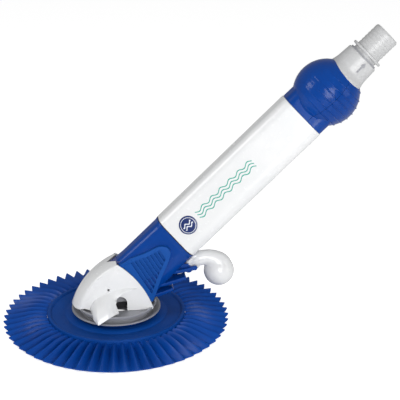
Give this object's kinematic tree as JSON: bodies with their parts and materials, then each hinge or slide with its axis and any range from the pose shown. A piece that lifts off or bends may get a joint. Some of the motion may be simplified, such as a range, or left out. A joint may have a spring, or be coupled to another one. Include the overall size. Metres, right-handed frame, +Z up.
{
  "type": "pool cleaner",
  "caption": "suction pool cleaner: a dolphin-shaped head on a swivelling foot with a pleated skirt, and a tilted tube that ends in a ribbed ball and a swivelling hose spigot",
  "frame": {"origin": "on the foot's vertical axis, at the floor that the foot pad stands on", "axes": "+Z up, +X from the nose towards the tube's upper end, +Y across; the X-Z plane is the symmetry plane"},
  "size_m": [0.5501, 0.32, 0.4201],
  "materials": {
    "white_plastic": "bright white moulded plastic, glossy",
    "blue_plastic": "royal blue moulded plastic, semi-gloss",
    "blue_satin": "royal blue moulded plastic, satin grip texture",
    "skirt_rubber": "soft blue moulded rubber, satin",
    "grey_plastic": "light grey moulded plastic, satin",
    "black_rubber": "black moulded rubber",
    "steel": "stainless steel",
    "bush_plastic": "natural acetal",
    "foam": "closed-cell foam",
    "badge_print": "printed round badge with a plain wave"
  },
  "bodies": {
    "foot": {"foot_pad": "black_rubber", "foot_base": "grey_plastic", "foot_ring": "grey_plastic", "foot_screws": "steel"},
    "skirt": {"skirt_hub": "blue_plastic", "skirt_disc": "skirt_rubber", "skirt_pleats": "skirt_rubber"},
    "head": {"swivel_plate": "grey_plastic", "swivel_clip": "grey_plastic", "intake_seal": "black_rubber", "throat_block": "grey_plastic", "ballast_weight": "steel", "hammer_pin": "steel", "pin_bushes": "bush_plastic", "head_shell_left": "white_plastic", "head_shell_right": "white_plastic", "shell_screws": "steel", "shroud": "blue_plastic", "side_pad_left": "blue_satin", "side_pad_right": "blue_satin", "rear_fins": "blue_plastic", "back_rail": "white_plastic", "tube_gasket": "black_rubber", "outer_tube": "white_plastic", "badge_left": "badge_print", "badge_right": "badge_print", "flow_tube_left": "grey_plastic", "flow_tube_right": "grey_plastic", "buoyancy_foam": "foam", "top_manifold": "grey_plastic", "ball_shell_upper": "blue_plastic", "ball_shell_lower": "blue_plastic", "neck": "white_plastic", "neck_seal": "black_rubber", "float_pin": "steel", "float_bracket": "blue_plastic"},
    "hammer": {"hammer": "blue_plastic", "hammer_pads": "black_rubber"},
    "spigot": {"hose_spigot": "white_plastic", "spigot_clip": "grey_plastic"},
    "float": {"float_shell_left": "white_plastic", "float_shell_right": "white_plastic"}
  },
  "joints": [
    {"name": "skirt_spin", "type": "hinge", "parent": "foot", "child": "skirt", "pos_m": [0, 0, 0.012], "axis": [0, 0, 1], "continuous": true},
    {"name": "head_swivel", "type": "hinge", "parent": "foot", "child": "head", "pos_m": [0, 0, 0.027], "axis": [0, 0, 1], "continuous": true},
    {"name": "hammer_swing", "type": "hinge", "parent": "head", "child": "hammer", "pos_m": [-0.012, 0, 0.06], "axis": [0, 1, 0], "range_deg": [-14, 14]},
    {"name": "hose_swivel", "type": "hinge", "parent": "head", "child": "spigot", "pos_m": [0.35967, 0, 0.38973], "axis": [0.7193, 0, 0.6947], "continuous": true},
    {"name": "float_tilt", "type": "hinge", "parent": "head", "child": "float", "pos_m": [0.103, 0, 0.079], "axis": [0, 1, 0], "range_deg": [-12, 10]}
  ]
}
